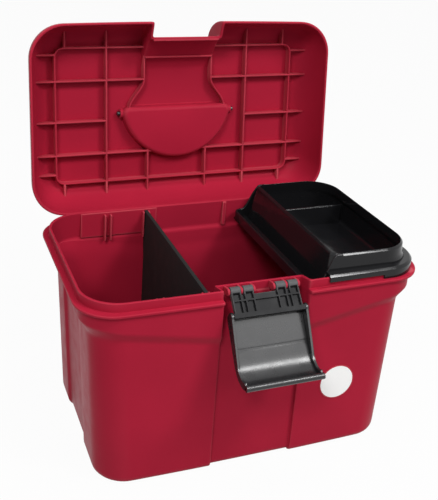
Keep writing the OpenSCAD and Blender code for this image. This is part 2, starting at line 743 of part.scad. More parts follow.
// Foot of the sloping wall between trough and bays
foot_share = 0.6;
foot_x = tray_x0 + trough_w * foot_share;
end_flat_share = 0.16;
end_x0 = tray_x0 + trough_w * end_flat_share;
end_x1 = mid_x + tray_t;
slope = (mid_x - foot_x) / (tray_top - tray_z0 - tray_t);
tray_r = radius_at(wall_a - wall) - wall;
tray_left_r = 9;
ledge_t = 3;
skirt_gap = 0.5;
skirt_a = wall_a + skirt_gap + skirt_t;
skirt_b = wall_b + skirt_gap + skirt_t;
skirt_drop = upstand_h - pass_gap;
skirt_x_share = 0.365;
skirt_x = hw * skirt_x_share;
skirt_cut_x_share = 0.71;
skirt_cut_up = 4.5;
cross_y_share = 0.25;
cross_y = box_d * cross_y_share;
cross_t = 4;
cross_drop_share = 0.86;
cross_drop = tray_up * cross_drop_share;
upper_in = 3;
upper_x1 = tray_x1 - upper_in;
curve_steps = 10;
module rounded(x0, x1, y0, y1, r_left, r_right, z0, z1) {
  translate([0, 0, z0]) linear_extrude(z1 - z0) polygon(concat(
    arc(x1 - r_right, y0 + r_right, r_right, -90, 0, corner_steps),
    arc(x1 - r_right, y1 - r_right, r_right, 0, 90, corner_steps),
    arc(x0 + r_left, y1 - r_left, r_left, 90, 180, corner_steps),
    arc(x0 + r_left, y0 + r_left, r_left, 180, 270, corner_steps)));
}
// Body of the tray, cut down to the low side wall and the S-shaped ends
module tray_shell() {
  curve = [for (i = [0:curve_steps]) let (f = i / curve_steps)
    [mix(end_x0, end_x1, f), mix(tray_low, tray_top, (1 - cos(180 * f)) * half)]];
  difference() {
    union() {
      rounded(tray_x0, tray_x1, -tray_b, tray_b, tray_left_r, tray_r, tray_z0, top_z + ledge_t * half);
      rounded(tray_x0, upper_x1, -tray_b, tray_b, tray_left_r, tray_r, top_z, tray_top);
    }
    front_plate(-box_d, box_d, concat(
      [[tray_x0 - over, tray_low]], curve, [[end_x1, tray_top + over], [tray_x0 - over, tray_top + over]]));
  }
}
// Ledge and skirt that hang the tray on the upstand
module tray_skirt() {
  difference() {
    translate([0, 0, top_z - skirt_drop]) linear_extrude(skirt_drop + ledge_t)
      polygon(plain(skirt_a, skirt_b, radius_at(skirt_a)));
    translate([0, 0, top_z - skirt_drop - over]) linear_extrude(skirt_drop + over)
      polygon(plain(skirt_a - skirt_t, skirt_b - skirt_t, radius_at(skirt_a - skirt_t)));
    translate([0, 0, top_z - over]) linear_extrude(ledge_t + over * 2)
      polygon(plain(wall_a - wall * 2, wall_b - wall * 2 - front_bow, radius_at(wall_a)));
    block([-box_w, -box_d, 0], [skirt_x, box_d, tub_h * 2]);
    block([0, -box_d, 0], [hw * skirt_cut_x_share, 0, top_z - skirt_drop + skirt_cut_up]);
  }
}
module tray() {
  color(black) {
    difference() {
      union() {
        tray_shell();
        tray_skirt();
      }
      front_plate(tray_t - tray_b, tray_b - tray_t, [
        [tray_x0 + tray_t, tray_z0 + tray_t], [foot_x - tray_t * half, tray_z0 + tray_t],
        [mid_x - tray_t * half + slope * over, tray_top + over], [tray_x0 + tray_t, tray_top + over]]);
      intersection() {
        rounded(foot_x, upper_x1 - tray_t, tray_t - tray_b, tray_b - tray_t, tray_t, tray_r - tray_t,
          tray_z0 + tray_t, tray_top + over);
        front_plate(-box_d, box_d, [
          [foot_x + tray_t * half, tray_z0 + tray_t], [box_w, tray_z0 + tray_t], [box_w, tray_top + over],
          [mid_x + tray_t * half + slope * over, tray_top + over]]);
      }
    }
    front_plate(cross_y - cross_t * half, cross_y + cross_t * half, [
      [foot_x, tray_z0 + tray_t * half], [upper_x1 - tray_t * half, tray_z0 + tray_t * half],
      [upper_x1 - tray_t * half, tray_top - cross_drop], [mid_x - slope * cross_drop, tray_top - cross_drop]]);
  }
}

// Divider plate, shaped to the stepped walls
divider_gap = 1.2;
divider_foot = base_round;
module divider() {
  x = hw * divider_x_share;
  b1 = wall_b - wall - divider_gap;
  b2 = low_b - wall - divider_gap;
  b3 = base_b - wall - divider_gap;
  z1 = low_z + shoulder_h + rise(x) + divider_gap;
  z2 = low_z + rise(x) + divider_gap;
  profile = [
    [b3 - divider_foot, wall], [b3, wall + divider_foot], [b2, z2], [b1, z1], [b1, top_z - divider_drop]];
  color(black) side_plate(x - divider_t * half, x + divider_t * half,
    concat(profile, [for (i = [len(profile) - 1:-1:0]) [-profile[i][0], profile[i][1]]]));
}

module sticker() {
  color(white) on_pad() translate([0, 0, pad_up]) cylinder(h = sticker_t, r = sticker_d * half);
}

tub();
hinge_pin(-hinge_x);  // hinge_pin_left
hinge_pin(hinge_x);  // hinge_pin_right
lid();
handle();
latch_link();
latch_lever();
tray();
divider();
sticker();
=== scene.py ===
import json
import math

import bmesh
import bpy
from mathutils import Matrix, Vector

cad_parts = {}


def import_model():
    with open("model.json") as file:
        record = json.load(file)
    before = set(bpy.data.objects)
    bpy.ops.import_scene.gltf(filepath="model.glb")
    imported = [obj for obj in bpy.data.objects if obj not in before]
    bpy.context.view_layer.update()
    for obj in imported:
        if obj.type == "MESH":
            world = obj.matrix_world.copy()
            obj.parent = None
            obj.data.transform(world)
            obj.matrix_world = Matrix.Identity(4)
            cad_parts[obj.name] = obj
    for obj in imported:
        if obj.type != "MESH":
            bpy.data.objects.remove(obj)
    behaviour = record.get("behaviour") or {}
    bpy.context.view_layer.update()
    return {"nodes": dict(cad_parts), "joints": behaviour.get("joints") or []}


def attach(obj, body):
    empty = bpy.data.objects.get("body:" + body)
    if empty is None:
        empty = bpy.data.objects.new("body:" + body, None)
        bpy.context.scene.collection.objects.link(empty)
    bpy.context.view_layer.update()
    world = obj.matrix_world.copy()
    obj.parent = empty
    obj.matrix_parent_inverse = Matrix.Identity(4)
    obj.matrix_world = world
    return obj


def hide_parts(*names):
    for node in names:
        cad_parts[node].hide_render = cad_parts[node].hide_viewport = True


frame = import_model()
nodes = frame["nodes"]
joints = {j["name"]: j for j in frame["joints"]}
scene = bpy.context.scene

# Sizes in millimetres. Those of this block are the same as in the CAD model.
MM = 0.001
HW, HD, TUB_H, LID_H = 200, 119, 215, 54
WALL, CORNER_R, RADIUS_SHARE, FRONT_BOW = 2.8, 42, 0.3, 2.5
LIP_W, LIP_T, UPSTAND_H = 6.5, 3, 10
TOP_Z, LID_TOP = TUB_H + UPSTAND_H, TUB_H + LID_H
WALL_A, WALL_B = HW - LIP_W, HD - LIP_W
SHOULDER_H, BAND_MID, BAND_END = 14, 45, 22
SHOULDER_A, SHOULDER_B, DRAFT_A, DRAFT_B = 10, 2, 8.5, 0.5
LOW_A, LOW_B, LOW_Z = WALL_A - SHOULDER_A, WALL_B - SHOULDER_B, TUB_H - BAND_MID - SHOULDER_H
BASE_A, BASE_B, BASE_ROUND = LOW_A - DRAFT_A, LOW_B - DRAFT_B, 9
CHANNEL_D, END_CHANNEL_D = 4, 3
END_Y0, END_Y1, END_SLOPE = -30, 38, 8
SEAT_HALF, SEAT_IN, SEAT_UP, SEAT_DOWN = 49, 24.5, 5, 14
SEAT_Y, SEAT_TOP, SEAT_FOOT = SEAT_IN - HD, TUB_H + SEAT_UP, TUB_H - SEAT_DOWN
BAR_OUT, BAR_UP, BAR_R = 8.9, 2, 2.5
BAR_Y, BAR_Z = SEAT_Y - BAR_OUT, TUB_H + BAR_UP
AXIS_Y, AXIS_Z = (joints["lid_hinge"]["pos_m"][i] / MM for i in (1, 2))
OPEN_ANGLE = -joints["lid_hinge"]["range_deg"][0]
HINGE_X, KNUCKLE_R, KNUCKLE_W, LUG_T = 110, 5.5, 18, 6
NOTCH_HALF, NOTCH_IN, NOTCH_UP, RAMP_RUN, LID_ROUND = 45, 17.5, 8.5, 43.5, 28
NOTCH_Y = NOTCH_IN - HD
RIB_H, RIB_T = 11, 2.4
RIB_Z = LID_TOP - WALL - RIB_H
POCKET_W, POCKET_D, POCKET_H, POCKET_Y0 = 152, 70, 14, -7.6
ARC_R = ((POCKET_W / 2) ** 2 + (POCKET_D - WALL) ** 2) / (2 * (POCKET_D - WALL))
ARC_Y = POCKET_Y0 + POCKET_D - ARC_R

HAIR = 0.1      # width of a hard step between two rows
EDGE_R = 0.8    # rounding of most moulded edges


def lerp(a, b, f):
    return a + (b - a) * f


def between(a, b, n):
    return [lerp(a, b, i / n) for i in range(n + 1)]


def turns(start, end, n):
    """Angles in radians from start to end, both in degrees."""
    return [math.radians(t) for t in between(start, end, n)]


def ease(f):
    f = min(1, max(0, f))
    return f * f * (3 - 2 * f)


def oval(cx, cy, a, b, start, end, n):
    return [(cx + a * math.cos(t), cy + b * math.sin(t)) for t in turns(start, end, n)]


def arc(cx, cy, r, start, end, n):
    return oval(cx, cy, r, r, start, end, n)


def circle(cx, cy, r, n=48):
    return arc(cx, cy, r, 0, 360 * (n - 1) / n, n - 1)


def direction(path, i):
    """The way a path runs at its point i."""
    return (Vector(path[min(len(path) - 1, i + 1)]) - Vector(path[max(0, i - 1)])).normalized()


MAX_ROUND_SHARE, TINY = 0.49, 1e-6


def rolled(controls, steps):
    """Turns control rows, each (values, rounding), into rows with every corner rounded. values[:3] are two half
    widths and a height."""
    def span(p, q):
        return math.hypot(max(abs(p[0] - q[0]), abs(p[1] - q[1])), p[2] - q[2]) or TINY

    rows = []
    for i, (p, r) in enumerate(controls):
        if not r:
            rows.append(p)
            continue
        ends = []
        for q in (controls[i - 1][0], controls[i + 1][0]):
            f = min(MAX_ROUND_SHARE, r / span(p, q))
            ends.append([lerp(a, b, f) for a, b in zip(p, q)])
        for t in between(0, 1, steps):
            rows.append([(1 - t) ** 2 * a + 2 * t * (1 - t) * m + t * t * b for a, m, b in zip(ends[0], p, ends[1])])
    return rows


# Stations of a ring: a rounded rectangle with a bowed front that can carry a gap, and ends that can carry a channel.
GAP_R, GAP_SHARE, GAP_STEPS = 2.2, 0.16, 5
GROOVE_X0, GROOVE_X1, GROOVE_IN, GROOVE_END, GROOVE_D = 55, 101, 3.3, 5.7, 1.4
CORNER_STEPS, FRONT_STEPS, FLOOR_STEPS, END_STEPS, SIDE_STEPS, REAR_STEPS = 14, 5, 5, 6, 3, 14
END_SHARE = 0.9     # most of a straight end that its channel may take up


def gap_edge():
    """The rounded side of the gap, from outside in, as (distance outside the gap, share of the gap's depth)."""
    turn = turns(0, 90, GAP_STEPS)
    outer = [(GAP_R * (1 - math.sin(t)), GAP_SHARE * (1 - math.cos(t))) for t in turn]
    inner = [(-GAP_R * (1 - math.cos(t)), 1 - GAP_SHARE * (1 - math.sin(t))) for t in turn]
    return outer + inner


def stations(a, b, r, n, channel):
    """(x, y, share of the gap) round one ring, counter-clockwise from the left end of the front."""
    edge = [(n + d, w) for d, w in reversed(gap_edge())]
    right = [(x, 1) for x in between(0, n - GAP_R, FLOOR_STEPS)[:-1]] + edge
    right += [(x, 0) for x in between(GROOVE_X0, GROOVE_X1, FRONT_STEPS)]
    right += [(x, 0) for x in between(GROOVE_X1 + HAIR, a - r, FRONT_STEPS)[:-1]]
    front = [(-x, w) for x, w in reversed(right[1:])] + right
    pts = [(x, -b, w) for x, w in front]

    straight = b - r
    k = min(1, straight * END_SHARE / (END_Y1 + END_SLOPE))
    marks = [-straight] + [y * k for y in (END_Y0 - END_SLOPE, END_Y0, END_Y1, END_Y1 + END_SLOPE)] + [straight]
    ys = []
    for y0, y1, steps in zip(marks, marks[1:], (SIDE_STEPS, END_STEPS, END_STEPS, END_STEPS, SIDE_STEPS)):
        ys += between(y0, y1, steps)[1:]
    ys.pop()

    def inset(y):
        into, out_of = (y / k - END_Y0 + END_SLOPE) / END_SLOPE, (END_Y1 + END_SLOPE - y / k) / END_SLOPE
        return channel * ease(into) * ease(out_of)

    pts += [(x, y, 0) for x, y in arc(a - r, r - b, r, -90, 0, CORNER_STEPS)]
    pts += [(a - inset(y), y, 0) for y in ys]
    pts += [(x, y, 0) for x, y in arc(a - r, b - r, r, 0, 90, CORNER_STEPS)]
    pts += [(x, b, 0) for x in between(a - r, r - a, REAR_STEPS)[1:-1]]
    pts += [(x, y, 0) for x, y in arc(r - a, b - r, r, 90, 180, CORNER_STEPS)]
    pts += [(inset(y) - a, y, 0) for y in reversed(ys)]
    pts += [(x, y, 0) for x, y in arc(r - a, r - b, r, 180, 270, CORNER_STEPS)]
    return [(x, y - FRONT_BOW * (1 - (x / a) ** 2) if y < 0 else y, w) for x, y, w in pts]


def radius_at(a):
    return CORNER_R - (HW - a) * RADIUS_SHARE


def ring(row, lift=None):
    """Points of one row: (half width, half depth, height, lift share, gap y, gap height, gap half width, channel)."""
    a, b, z, follows, gy, gz, n, channel = row
    out = []
    for x, y, w in stations(a, b, radius_at(a), n, channel):
        up = (z(x, y) if callable(z) else z) + (follows * lift(x) if lift else 0)
        out.append((x, lerp(y, gy, w), lerp(up, gz, w)))
    return out


# Mesh helpers. All take millimetres and add to one mesh.
BEVEL_STEPS, CREASE = 3, math.radians(35)


def loop(bm, points):
    return [bm.verts.new(Vector(p) * MM) for p in points]


def skin(bm, loops):
    for lower, upper in zip(loops, loops[1:]):
        for i, v in enumerate(lower):
            j = (i + 1) % len(lower)
            bm.faces.new((v, lower[j], upper[j], upper[i]))


def closed_skin(bm, loops):
    skin(bm, loops)
    bm.faces.new(loops[0])
    bm.faces.new(loops[-1])


def fill(bm, *loops):
    """A flat face between an outer loop and the loops inside it."""
    edges = []
    for vs in loops:
        for i, v in enumerate(vs):
            pair = (v, vs[(i + 1) % len(vs)])
            edges.append(bm.edges.get(pair) or bm.edges.new(pair))
    bmesh.ops.triangle_fill(bm, use_beauty=True, use_dissolve=False, edges=edges)


def prism(bm, points, lo, hi, to, r):
    """A prism over a closed outline. to(u, v, h) places it, and its edges are rounded by r."""
    a = loop(bm, [to(u, v, lo) for u, v in points])
    b = loop(bm, [to(u, v, hi) for u, v in points])
    skin(bm, [a, b])
    ends = [bm.faces.new(a), bm.faces.new(b)]
    if r:
        sharp = [e for f in ends for e in f.edges]
        for i, v in enumerate(a):
            p, q, s = (Vector(points[k % len(points)]) for k in (i - 1, i, i + 1))
            if abs((q - p).angle_signed(s - q, 0)) > CREASE:
                sharp.append(bm.edges.get((v, b[i])))
        bmesh.ops.bevel(bm, geom=sharp, offset=r * MM, segments=BEVEL_STEPS, profile=0.5, affect="EDGES",
                        clamp_overlap=True)


def sweep(bm, path, section):
    """A bar along a path in plan. section(i) is its outline, as (distance to the left of the path, height)."""
    loops = []
    for i, p in enumerate(path):
        d = direction(path, i)
        loops.append(loop(bm, [(p[0] - d.y * s, p[1] + d.x * s, z) for s, z in section(i)]))
    closed_skin(bm, loops)


def along_x(u, v, h):
    return h, u, v


def along_y(u, v, h):
    return u, h, v


def along_z(u, v, h):
    return u, v, h


def block(bm, lo, hi, r):
    prism(bm, [(lo[0], lo[1]), (hi[0], lo[1]), (hi[0], hi[1]), (lo[0], hi[1])], lo[2], hi[2], along_z, r)


def rod(bm, x0, x1, y, z, radius, r):
    prism(bm, circle(y, z, radius), x0, x1, along_x, r)


def finish_piece(name, bm, node, body, material, place=None, sharp=38):
    """Makes the mesh an object that stands for a CAD node."""
    bmesh.ops.recalc_face_normals(bm, faces=bm.faces)
    me = bpy.data.meshes.new(name)
    bm.to_mesh(me)
    bm.free()
    if place:
        me.transform(place)
    me.shade_smooth()
    me.set_sharp_from_angle(angle=math.radians(sharp))
    me.materials.append(material)
    o = bpy.data.objects.new(name, me)
    scene.collection.objects.link(o)
    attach(o, body)
    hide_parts(node)
    return o


# Camera, light and stage. The camera is the one fitted to the photo: degrees, millimetres and pixels.
CAM_YAW, CAM_PITCH, CAM_ROLL = (math.radians(a) for a in (22.04, -19.75, 3.87))
CAM_AT = (-358.72, -808.49, 641.68)
FOCAL_PX, CENTRE_X, CENTRE_Y, PHOTO_W, PHOTO_H, SENSOR_W = 835.05, 207.85, 157.68, 438, 500, 36
WORLD_LIGHT = 0.19
FLOOR_WHITE, FLOOR_GREY, FLOOR_ROUGH, FLOOR_HALF, FLOOR_CELLS = 0.96, 0.55, 0.9, 6, 24
# Name, size, power, place and aim, in metres and watts
LAMPS = (
    ("key", (0.6, 0.6), 28, (-1.1, -1.4, 1.95), (0, 0, 0.25)),
    ("side", (0.55, 0.45), 23, (0.95, -1.1, 1.9), (0, 0, 0.25)),
    ("front", (1.4, 0.8), 8.5, (0.75, -1.6, 1.3), (0, -0.1, 0.2)),
    ("top", (0.9, 0.5), 10, (0, -0.2, 2.1), (0, 0, 0.2)),
)


def camera():
    level = math.cos(CAM_PITCH)
    fwd = Vector((math.sin(CAM_YAW) * level, math.cos(CAM_YAW) * level, math.sin(CAM_PITCH)))
    r = Vector((math.cos(CAM_YAW), -math.sin(CAM_YAW), 0))
    u = r.cross(fwd)
    right = r * math.cos(CAM_ROLL) + u * math.sin(CAM_ROLL)
    up = u * math.cos(CAM_ROLL) - r * math.sin(CAM_ROLL)
    cam = bpy.data.cameras.new("camera")
    cam.sensor_width = SENSOR_W
    cam.lens = FOCAL_PX / PHOTO_H * cam.sensor_width
    cam.shift_x = (PHOTO_W / 2 - CENTRE_X) / PHOTO_H
    cam.shift_y = (CENTRE_Y - PHOTO_H / 2) / PHOTO_H
    o = bpy.data.objects.new("camera", cam)
    scene.collection.objects.link(o)
    o.matrix_world = Matrix((right, up, -fwd)).transposed().to_4x4()
    o.location = Vector(CAM_AT) * MM
    scene.camera = o


def lamp(name, size, power, at, aim):
    light = bpy.data.lights.new(name, "AREA")
    light.shape = "RECTANGLE"
    light.size, light.size_y = size
    light.energy = power
    o = bpy.data.objects.new(name, light)
    scene.collection.objects.link(o)
    o.location = at
    o.rotation_euler = (Vector(aim) - Vector(at)).to_track_quat("-Z", "Y").to_euler()


def shown(nt):
    """1 on the rays that show the background, 0 on the rays that carry light to the object."""
    path = nt.nodes.new("ShaderNodeLightPath")
    out = path.outputs["Is Camera Ray"]
    for ray in ("Is Glossy Ray", "Is Transmission Ray"):
        top = nt.nodes.new("ShaderNodeMath")
        top.operation = "MAXIMUM"
        nt.links.new(out, top.inputs[0])
        nt.links.new(path.outputs[ray], top.inputs[1])
        out = top.outputs[0]
    return out


def world():
    w = bpy.data.worlds.new("studio")
    scene.world = w
    w.use_nodes = True
    nt = w.node_tree
    mix = nt.nodes.new("ShaderNodeMix")
    mix.inputs["A"].default_value = WORLD_LIGHT
    mix.inputs["B"].default_value = 1
    nt.links.new(shown(nt), mix.inputs["Factor"])
    nt.nodes["Background"].inputs["Color"].default_value = (1, 1, 1, 1)
    nt.links.new(mix.outputs["Result"], nt.nodes["Background"].inputs["Strength"])


def floor():
    bm = bmesh.new()
    bmesh.ops.create_grid(bm, x_segments=FLOOR_CELLS, y_segments=FLOOR_CELLS, size=FLOOR_HALF)
    me = bpy.data.meshes.new("floor")
    bm.to_mesh(me)
    bm.free()
    o = bpy.data.objects.new("floor", me)
    scene.collection.objects.link(o)
    m = bpy.data.materials.new("floor")
    m.use_nodes = True
    nt = m.node_tree
    bsdf = nt.nodes["Principled BSDF"]
    bsdf.inputs["Base Color"].default_value = (FLOOR_GREY, FLOOR_GREY, FLOOR_GREY, 1)
    bsdf.inputs["Roughness"].default_value = FLOOR_ROUGH
    bsdf.inputs["Specular IOR Level"].default_value = 0
    share = nt.nodes.new("ShaderNodeMath")
    share.operation = "MULTIPLY"
    share.inputs[1].default_value = FLOOR_WHITE
    mix = nt.nodes.new("ShaderNodeMixShader")
    nt.links.new(shown(nt), share.inputs[0])
    nt.links.new(share.outputs[0], mix.inputs["Fac"])
    nt.links.new(bsdf.outputs[0], mix.inputs[1])
    nt.links.new(nt.nodes.new("ShaderNodeEmission").outputs[0], mix.inputs[2])
    nt.links.new(mix.outputs[0], nt.nodes["Material Output"].inputs["Surface"])
    me.materials.append(m)


# Materials. Each noise is (scale, detail) and each range is what a value is read between.
CLOUD_NOISE, CLOUD_RANGE = (9, 3), (0.35, 0.65)
SPECK_SCALE, SPECK_RANGE, SPECK_SHARE, SPECK_TINT = 0.5, (0.62, 0.72), 0.35, 0.8
# Painted highlight: convex edges, picked out by pointiness, are blended toward a paler colour
EDGE_HIGHLIGHT_RANGE, EDGE_HIGHLIGHT_SHARE, EDGE_HIGHLIGHT_TINT = (0.51, 0.6), 0.65, 1.3
ROUGH_NOISE, ROUGH_RANGE, ROUGH_SPREAD = (55, 4), (0.3, 0.7), 0.05
GRAIN_DETAIL, GRAIN_DEPTH = 2, 0.0004


def tinted(colour, f):
    return tuple(min(1, c * f) for c in colour)


def plastic(name, colour, rough, grain, bump, spread=0.05, edge=None, specular=0.5, metallic=0):
    """Moulded plastic: slow clouds of tint, convex edges made paler as a painted highlight (edge is its colour), uneven
    gloss and a fine moulded grain.
    """
    m = bpy.data.materials.new(name)
    m.use_nodes = True
    nt = m.node_tree
    bsdf = nt.nodes["Principled BSDF"]
    coord = nt.nodes.new("ShaderNodeTexCoord")

    def noise(scale, detail):
        n = nt.nodes.new("ShaderNodeTexNoise")
        n.inputs["Scale"].default_value = scale
        n.inputs["Detail"].default_value = detail
        nt.links.new(coord.outputs["Object"], n.inputs["Vector"])
        return n.outputs["Fac"]

    def ramp(src, span, a, b):
        r = nt.nodes.new("ShaderNodeMapRange")
        for key, value in (("From Min", span[0]), ("From Max", span[1]), ("To Min", a), ("To Max", b)):
            r.inputs[key].default_value = value
        nt.links.new(src, r.inputs["Value"])
        return r.outputs["Result"]

    def blend(factor, a, b):
        mix = nt.nodes.new("ShaderNodeMix")
        mix.data_type = "RGBA"
        nt.links.new(factor, mix.inputs["Factor"])
        for key, value in (("A", a), ("B", b)):
            if isinstance(value, tuple):
                mix.inputs[key].default_value = value + (1,)
            else:
                nt.links.new(value, mix.inputs[key])
        return mix.outputs["Result"]

    cloud = blend(ramp(noise(*CLOUD_NOISE), CLOUD_RANGE, 0, 1), tinted(colour, 1 - spread), tinted(colour, 1 + spread))
    speck = blend(ramp(noise(grain * SPECK_SCALE, GRAIN_DETAIL), SPECK_RANGE, 0, SPECK_SHARE), cloud,
                  tinted(colour, SPECK_TINT))
    geo = nt.nodes.new("ShaderNodeNewGeometry")
    # painted highlight: paler colour on convex edges, read from pointiness
    painted_edge_highlight = blend(ramp(geo.outputs["Pointiness"], EDGE_HIGHLIGHT_RANGE, 0, EDGE_HIGHLIGHT_SHARE), speck, edge or tinted(colour, EDGE_HIGHLIGHT_TINT))
    nt.links.new(painted_edge_highlight, bsdf.inputs["Base Color"])
    uneven = ramp(noise(*ROUGH_NOISE), ROUGH_RANGE, rough - ROUGH_SPREAD, rough + ROUGH_SPREAD)
    nt.links.new(uneven, bsdf.inputs["Roughness"])
    relief = nt.nodes.new("ShaderNodeBump")
    relief.inputs["Strength"].default_value = bump
    relief.inputs["Distance"].default_value = GRAIN_DEPTH
    nt.links.new(noise(grain, GRAIN_DETAIL), relief.inputs["Height"])
    nt.links.new(relief.outputs["Normal"], bsdf.inputs["Normal"])
    bsdf.inputs["Specular IOR Level"].default_value = specular
    bsdf.inputs["Metallic"].default_value = metallic
    return m


BLACK_TINT, LABEL_TINT = (0.011, 0.011, 0.012), (0.87, 0.87, 0.86)
# The red plastic's edge colour is a painted highlight along rib crests, lips and other convex edges
RED = plastic("red_plastic", (0.36, 0.013, 0.035), rough=0.36, grain=1500, bump=0.10, edge=(0.55, 0.09, 0.115),
              specular=0.03)
BLACK = plastic("black_plastic", BLACK_TINT, rough=0.28, grain=1300, bump=0.03, specular=0.52)
MATT = plastic("divider_plastic", (0.014, 0.016, 0.016), rough=0.55, grain=1300, bump=0.10, spread=0.03, specular=0.09)
# The link plastic's edge colour is a painted highlight on the edges of the link's ribs
LINK = plastic("link_plastic", BLACK_TINT, rough=0.42, grain=1300, bump=0.05, edge=(0.13, 0.13, 0.133), specular=0.1)
GLOSS = plastic("tray_plastic", (0.008, 0.008, 0.009), rough=0.13, grain=700, bump=0.012, specular=0.26)
STEEL = plastic("steel", (0.55, 0.56, 0.57), rough=0.3, grain=2000, bump=0.05, metallic=1)
LABEL = plastic("label", LABEL_TINT, rough=0.45, grain=1800, bump=0.05, spread=0.01, edge=LABEL_TINT, specular=0.3)


# Tub
TUB_STEPS = 6
BEND_R, LIP_FOOT_R, LIP_R, UPSTAND_R, RIM_R = 4, 2, 1.1, 1.4, 1.2
LEDGE_R, INNER_BAND_R, INNER_BEND_R, BAND_FOOT = 2.2, 5, 10, 1.1
BAND_OUT, BAND_IN, STEP_UP, LEDGE_Z, LEDGE_H = 3, 2.6, 5.5, 188, 4
SEAT_SHARES = (0, 0.15, 0.4, 0.6)
EAR_SHARES, EAR_T, EAR_R, EAR_FOOT, EAR_HEAD, EAR_EDGE = (0.235, 0.53, 0.827), 2.4, 4.1, 6, 2, 0.4
LUG_GAP, LUG_BACK, LUG_FOOT = 0.3, 1, 20
DIVIDER_X, SPARE_X, DIVIDER_T, SLOT_T, SLOT_IN = -66, -115, 4, 2, 6
SLOT_GAP, SLOT_SHARE, SLOT_DROP, SLOT_EDGE = 0.6, 0.62, 4, 0.7
SKIN_T = 0.2    # from the rear wall's outer face to where pieces on its inside start
RIDGE_X, RIDGE_W, RIDGE_UP = 40, 4.4, 2
PANEL_X0, PANEL_X1, PANEL_UP, PANEL_TOP = -148, -52, 0.9, TOP_Z - 1.5
# Edge of a raised panel, as (distance in from its outline, distance behind its face)
PANEL_EDGE = ((0, 0.5), (0.15, 0.15), (0.5, 0), (1.5, 0))
PAD_X, PAD_Z, PAD_R, PAD_UP, PAD_EDGE = 100, 87.1, 22, 0.8, 0.5


def channel_y(b):
    return CHANNEL_D - b - FRONT_BOW


def tub_lift(x):
    f = (abs(x) - SEAT_HALF) / (WALL_A - SEAT_HALF - CORNER_R / 2)
    return (BAND_MID - BAND_END) * min(1, max(0, f))


def lip_groove(x, y):
    return TUB_H - GROOVE_D if y < 0 and GROOVE_X0 < x < GROOVE_X1 else TUB_H


def seat_in(z):
    """The gap's y and height on the inside of the latch seat, for a row at height z."""
    f = (z - LOW_Z - SHOULDER_H) / (TOP_Z - LOW_Z - SHOULDER_H)
    return SEAT_Y + WALL, lerp(SEAT_FOOT - WALL / 2, SEAT_TOP, f)


def tub_controls():
    """Rows up the outside, over the lip and the upstand and down the inside, each with its rounding r."""
    def row(a, b, z, r, follows=0, gap=None, n=SEAT_HALF, channel=0):
        gy, gz = gap or (channel_y(b), z)
        return [a, b, z, follows, gy, gz, n, channel], r

    def lip_row(inset, z):
        return row(HW - inset, HD - inset, z, 0, 0, (SEAT_Y, seat[2]))

    start, end_d, inner_half = BASE_ROUND * 2, END_CHANNEL_D, SEAT_HALF + WALL
    seat = [lerp(SEAT_FOOT, SEAT_TOP, f) for f in SEAT_SHARES]
    band_b, inner_a, inner_b = WALL_B + BAND_OUT, WALL_A - WALL, WALL_B - WALL
    band_z, ledge_z = LOW_Z + SHOULDER_H, LEDGE_Z + LEDGE_H
    step_a, foot_z = lerp(LOW_A, WALL_A, STEP_UP / SHOULDER_H), LOW_Z + SHOULDER_H * BAND_FOOT
    return [
        row(BASE_A - start, BASE_B - start, 0, 0, channel=end_d),
        row(BASE_A, BASE_B, 0, BASE_ROUND, channel=end_d),
        row(LOW_A, LOW_B, LOW_Z, BEND_R, 1, channel=end_d),
        row(step_a, LOW_B, LOW_Z + STEP_UP, BEND_R, 1, channel=end_d / 2),
        row(WALL_A, band_b, foot_z, BEND_R, 1, (channel_y(LOW_B), band_z)),
        row(WALL_A, band_b, TUB_H - LIP_T, LIP_FOOT_R, 0, (SEAT_Y, seat[0])),
        row(HW, HD, TUB_H - LIP_T, LIP_R, 0, (SEAT_Y, seat[1])),
        row(HW, HD, TUB_H, LIP_R, 0, (SEAT_Y, seat[2])),
        lip_row(GROOVE_IN, TUB_H),
        lip_row(GROOVE_IN + HAIR, lip_groove),
        lip_row(GROOVE_END, lip_groove),
        lip_row(GROOVE_END + HAIR, TUB_H),
        row(WALL_A, WALL_B, TUB_H, UPSTAND_R, 0, (SEAT_Y, seat[3])),
        row(WALL_A, WALL_B, TOP_Z, RIM_R, 0, (SEAT_Y, SEAT_TOP)),
        row(inner_a, inner_b, TOP_Z, RIM_R, 0, seat_in(TOP_Z), inner_half),
        row(inner_a, inner_b + BAND_IN, ledge_z, LEDGE_R, 0, seat_in(ledge_z), inner_half),
        row(inner_a, inner_b, LEDGE_Z, LEDGE_R, 0, seat_in(LEDGE_Z), inner_half),
        row(inner_a, inner_b, band_z, INNER_BAND_R, 1, seat_in(band_z), inner_half),
        row(LOW_A - WALL, LOW_B - WALL, LOW_Z - WALL / 2, INNER_BEND_R, 1, (channel_y(LOW_B - WALL), LOW_Z), inner_half,
            end_d),
        row(BASE_A - WALL, BASE_B - WALL, WALL, BASE_ROUND - WALL, n=inner_half, channel=end_d),
        row(BASE_A - start, BASE_B - start, WALL, 0, n=inner_half, channel=end_d),
    ]


def on_pad():
    """Places the sticker's pad square to the drafted front wall."""
    rise = LOW_Z - BASE_ROUND
    y = -lerp(BASE_B, LOW_B, (PAD_Z - BASE_ROUND) / rise) - FRONT_BOW * (1 - (PAD_X / BASE_A) ** 2)
    a = math.pi / 2 - math.atan((LOW_B - BASE_B) / rise)
    c, s = math.cos(a), math.sin(a)
    return lambda u, v, h: (PAD_X + u, y + v * c - h * s, PAD_Z + v * s + h * c)


def rear_panel(bm, x0, x1, up):
    """A raised panel on the inside of the rear wall, down to the ledge."""
    z0, z1, face = LEDGE_Z + LEDGE_H, PANEL_TOP, WALL_B - WALL - up
    loops = []
    for d, y in [(0, WALL_B - SKIN_T)] + [(d, face + back) for d, back in PANEL_EDGE]:
        corners = ((x0 + d, z0 + d), (x1 - d, z0 + d), (x1 - d, z1 - d), (x0 + d, z1 - d))
        loops.append(loop(bm, [(x, y, z) for x, z in corners]))
    closed_skin(bm, loops)


